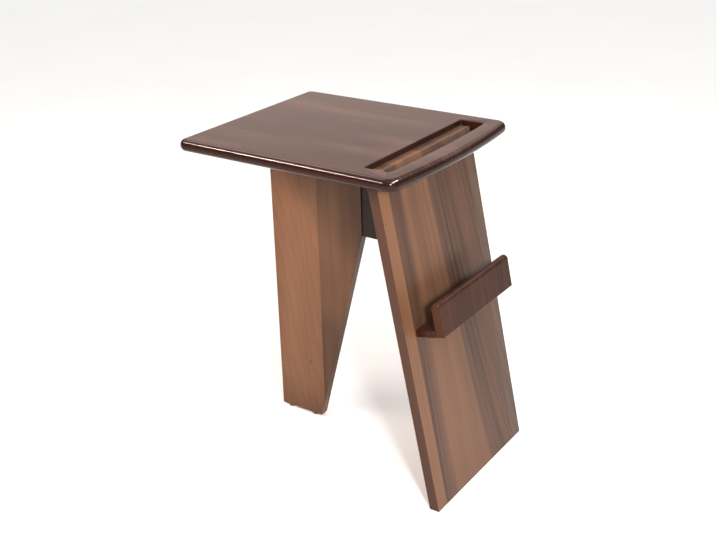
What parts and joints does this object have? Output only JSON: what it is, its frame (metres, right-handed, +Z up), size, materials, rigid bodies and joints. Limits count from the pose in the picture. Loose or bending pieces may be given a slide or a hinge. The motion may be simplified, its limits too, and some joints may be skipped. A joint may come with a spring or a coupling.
{
  "type": "magazine table",
  "caption": "Side table with a bullnosed, bowed top on a flat tapered leg board and a leaning rack panel, whose tray holds magazines that stand up through a slot in the top.",
  "frame": {"origin": "on the floor, below the middle of the table's overall length and width", "axes": "+Z up, +X from the leg towards the rack, +Y across the table, with the table's plane of symmetry at Y = 0"},
  "size_m": [0.502, 0.383, 0.6],
  "materials": {
    "top_wood": "dark walnut stain, satin lacquer",
    "leg_wood": "walnut, satin lacquer",
    "wing_wood": "darker walnut stave, satin lacquer",
    "stretcher_wood": "walnut, satin lacquer",
    "panel_wood": "striped walnut, satin lacquer",
    "lipping_wood": "walnut lipping, satin lacquer",
    "tray_wood": "dark red-brown walnut, satin lacquer",
    "cleat_wood": "plain hardwood, oiled",
    "tongue_wood": "birch plywood, unfinished",
    "screw_steel": "zinc plated",
    "glide_plastic": "moulded, matt"
  },
  "bodies": {
    "root": {"table_top": "top_wood", "leg_post": "leg_wood", "leg_wing": "wing_wood", "leg_tongue": "tongue_wood", "stretcher": "stretcher_wood", "stretcher_tongue": "tongue_wood", "panel_tongue": "tongue_wood", "rack_panel": "panel_wood", "panel_lipping_near": "lipping_wood", "panel_lipping_far": "lipping_wood", "lipping_tongue_near": "tongue_wood", "lipping_tongue_far": "tongue_wood", "tray_ledge": "tray_wood", "tray_lip": "tray_wood", "lip_tongue": "tongue_wood", "tray_screws": "screw_steel", "leg_cleat_near": "cleat_wood", "leg_cleat_far": "cleat_wood", "panel_cleat_near": "cleat_wood", "panel_cleat_far": "cleat_wood", "cleat_screws": "screw_steel", "glide_pads": "glide_plastic", "glide_nails": "screw_steel"}
  },
  "joints": []
}
